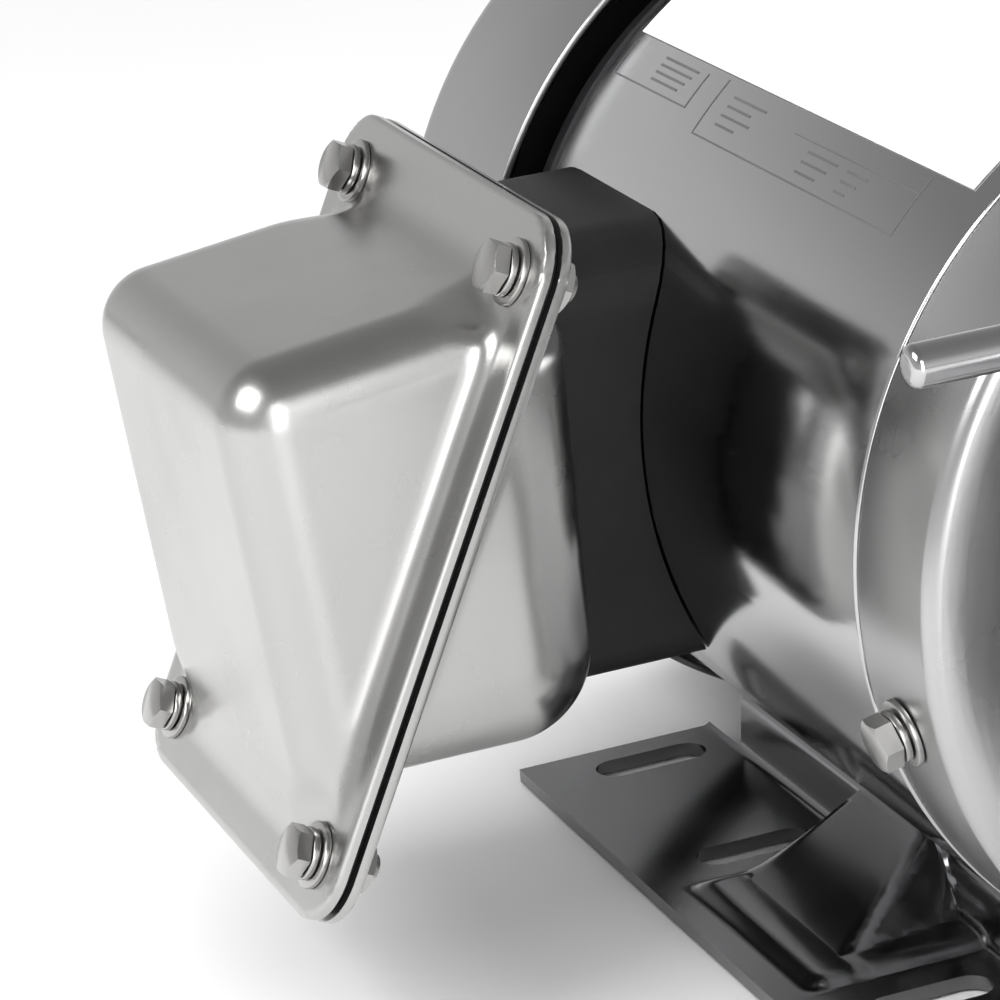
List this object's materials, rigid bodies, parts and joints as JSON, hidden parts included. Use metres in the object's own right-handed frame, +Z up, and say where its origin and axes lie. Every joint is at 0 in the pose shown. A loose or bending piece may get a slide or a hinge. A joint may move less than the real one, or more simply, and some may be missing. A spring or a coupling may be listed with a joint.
{
  "type": "bench grinder",
  "caption": "Bench grinder: enclosed stainless foot-mounted motor with a split conduit box, driving one guarded grinding wheel with a tool rest and an eye shield.",
  "frame": {"origin": "on the bench plane, under the middle of the bounding box", "axes": "+X along the spindle from the fan to the wheel, +Y toward the operator, +Z up"},
  "size_m": [0.329, 0.2932, 0.1775],
  "materials": {
    "polished_stainless": "mirror-polished stainless sheet",
    "brushed_stainless": "satin stainless, turned or spun",
    "fastener_steel": "plain bright steel",
    "base_steel": "darker reflective pressed sheet",
    "black_casting": "satin black paint on iron",
    "black_plastic": "moulded, fine texture",
    "rubber": "matt",
    "lamination": "stacked electrical steel",
    "copper": "enamelled copper winding",
    "label": "blank white film",
    "abrasive": "grey vitrified abrasive",
    "lens": "clear polycarbonate",
    "red_plastic": "moulded"
  },
  "bodies": {
    "motor": {"motor_frame": "polished_stainless", "conduit_box_base": "polished_stainless", "conduit_box_cover": "polished_stainless", "base": "base_steel", "drive_end_bell": "brushed_stainless", "fan_cover": "brushed_stainless", "guard_shell": "brushed_stainless", "guard_cover": "brushed_stainless", "fan_end_bell": "black_casting", "guard_mount": "black_casting", "conduit_spacer": "black_plastic", "terminal_block": "black_plastic", "cable_gland": "black_plastic", "switch_box": "black_plastic", "conduit_gasket": "rubber", "stator_core": "lamination", "drive_coil": "copper", "fan_coil": "copper", "label_plate": "label", "drive_bearing_outer": "fastener_steel", "fan_bearing_outer": "fastener_steel", "rod_clamp": "fastener_steel", "fan_cover_screw_1": "fastener_steel", "fan_cover_screw_2": "fastener_steel", "fan_cover_screw_3": "fastener_steel", "end_bell_screw_1": "fastener_steel", "end_bell_screw_2": "fastener_steel", "end_bell_screw_3": "fastener_steel", "end_bell_screw_4": "fastener_steel", "conduit_bolt_1": "fastener_steel", "conduit_bolt_2": "fastener_steel", "conduit_bolt_3": "fastener_steel", "conduit_bolt_4": "fastener_steel", "guard_mount_screw_1": "fastener_steel", "guard_mount_screw_2": "fastener_steel", "guard_mount_screw_3": "fastener_steel", "guard_cover_screw_1": "fastener_steel", "guard_cover_screw_2": "fastener_steel", "guard_cover_screw_3": "fastener_steel"},
    "spindle": {"shaft": "fastener_steel", "rotor_core": "lamination", "cooling_fan": "black_plastic", "drive_bearing_inner": "fastener_steel", "fan_bearing_inner": "fastener_steel", "shaft_slinger": "rubber", "inner_wheel_flange": "fastener_steel", "grinding_wheel": "abrasive", "outer_wheel_flange": "fastener_steel", "arbor_nut": "fastener_steel"},
    "eye_shield_support": {"eye_shield_rod": "polished_stainless", "eye_shield_screw": "fastener_steel"},
    "eye_shield": {"eye_shield_frame": "black_plastic", "eye_shield_lens": "lens"},
    "rod_clamp_screw": {"rod_clamp_screw": "fastener_steel"},
    "tool_rest_arm": {"tool_rest_arm": "fastener_steel", "tool_rest_pivot": "fastener_steel"},
    "tool_rest_plate": {"tool_rest_plate": "fastener_steel"},
    "tool_rest_knob": {"tool_rest_knob": "black_plastic"},
    "spark_arrester": {"spark_arrester": "fastener_steel"},
    "switch_rocker": {"switch_rocker": "red_plastic"}
  },
  "joints": [
    {"name": "spindle_spin", "type": "hinge", "parent": "motor", "child": "spindle", "pos_m": [0.04645, 0.02525, 0.0889], "axis": [1, 0, 0], "continuous": true},
    {"name": "eye_shield_rod_slide", "type": "slide", "parent": "motor", "child": "eye_shield_support", "axis": [0, 1, 0], "range_m": [-0.012, 0.02]},
    {"name": "eye_shield_tilt", "type": "hinge", "parent": "eye_shield_support", "child": "eye_shield", "pos_m": [0.04645, 0.12325, 0.1481], "axis": [1, 0, 0], "range_deg": [-10, 90]},
    {"name": "rod_clamp_turn", "type": "hinge", "parent": "motor", "child": "rod_clamp_screw", "pos_m": [0.10345, -0.00975, 0.1481], "axis": [0, 0, 1], "range_deg": [0, 360]},
    {"name": "tool_rest_slide", "type": "slide", "parent": "motor", "child": "tool_rest_arm", "axis": [0, 1, 0], "range_m": [0, 0.01]},
    {"name": "tool_rest_tilt", "type": "hinge", "parent": "tool_rest_arm", "child": "tool_rest_plate", "pos_m": [0.04645, 0.12925, 0.0769], "axis": [1, 0, 0], "range_deg": [-15, 5]},
    {"name": "tool_rest_knob_turn", "type": "hinge", "parent": "motor", "child": "tool_rest_knob", "pos_m": [0.04645, 0.09125, 0.0629], "axis": [1, 0, 0], "range_deg": [0, 360]},
    {"name": "spark_arrester_set", "type": "hinge", "parent": "motor", "child": "spark_arrester", "pos_m": [0.04645, 0.02525, 0.0889], "axis": [1, 0, 0], "range_deg": [-10, 0]},
    {"name": "switch_rock", "type": "hinge", "parent": "motor", "child": "switch_rocker", "pos_m": [-0.03355, 0.13325, 0.0889], "axis": [1, 0, 0], "range_deg": [0, 12]}
  ]
}
